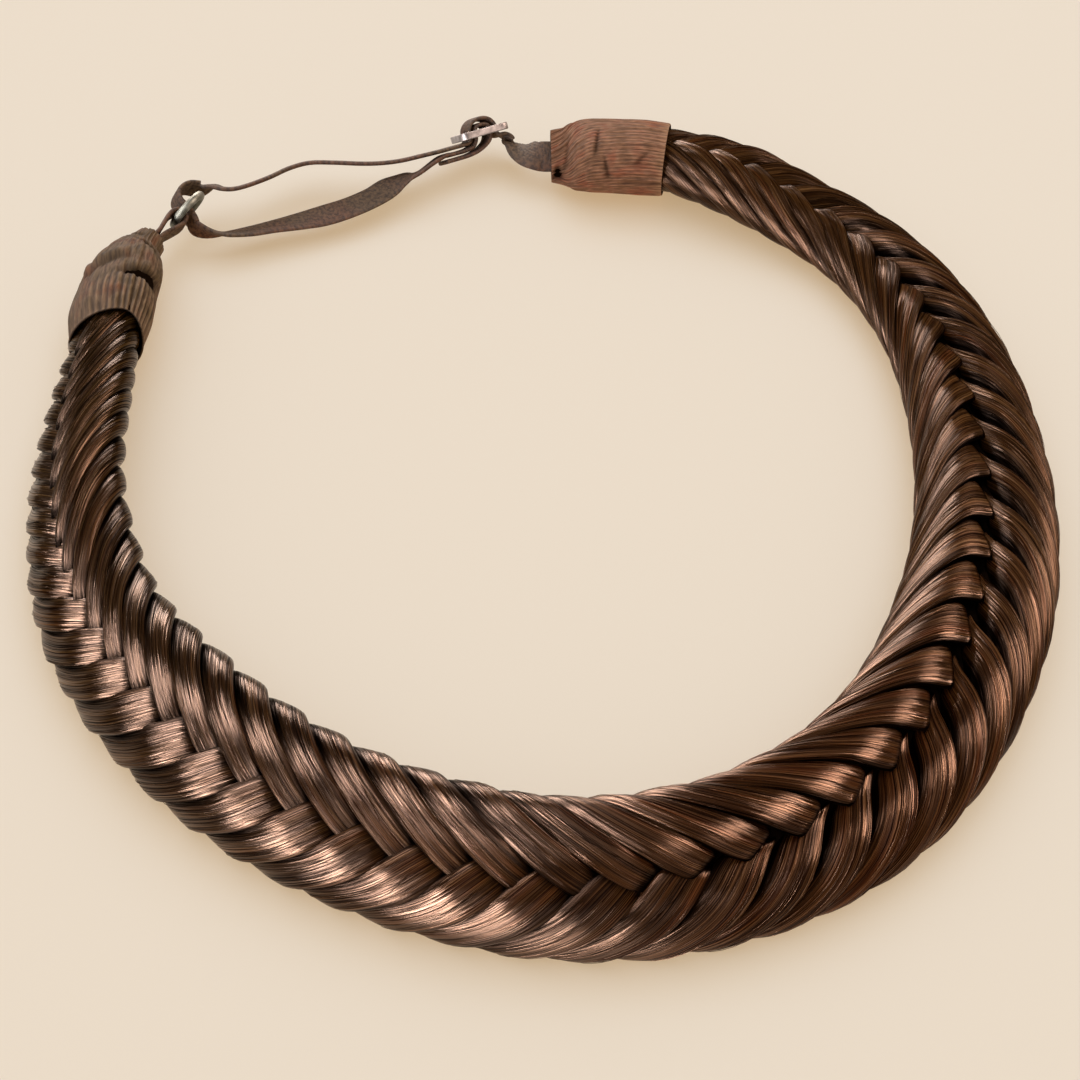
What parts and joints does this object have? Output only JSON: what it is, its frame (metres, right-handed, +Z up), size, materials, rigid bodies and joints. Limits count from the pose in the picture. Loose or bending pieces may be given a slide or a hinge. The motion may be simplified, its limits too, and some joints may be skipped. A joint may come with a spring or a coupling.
{
  "type": "braided headband",
  "caption": "Headband of fishtail-braided synthetic hair, closed behind the head by a short elastic strap with a ring and a slider.",
  "frame": {"origin": "middle of the headband's bounding box, on the surface it lies on", "axes": "+Z up from the surface, +Y towards the strap behind the head, -Y towards the front of the braid, +X towards the end with the slider"},
  "size_m": [0.1978, 0.2128, 0.0208],
  "materials": {
    "hair": "glossy synthetic hair, dark brown with warm highlights",
    "left_knit": "ribbed stretch knit, brown",
    "right_knit": "finely crinkled stretch knit, reddish brown",
    "elastic": "matt woven elastic, brown",
    "plated_metal": "satin nickel plate"
  },
  "bodies": {
    "root": {"hair_braid": "hair", "left_wrap": "left_knit", "right_wrap": "right_knit", "ring_tab": "elastic", "ring": "plated_metal", "elastic_strap": "elastic", "slider": "plated_metal"}
  },
  "joints": []
}
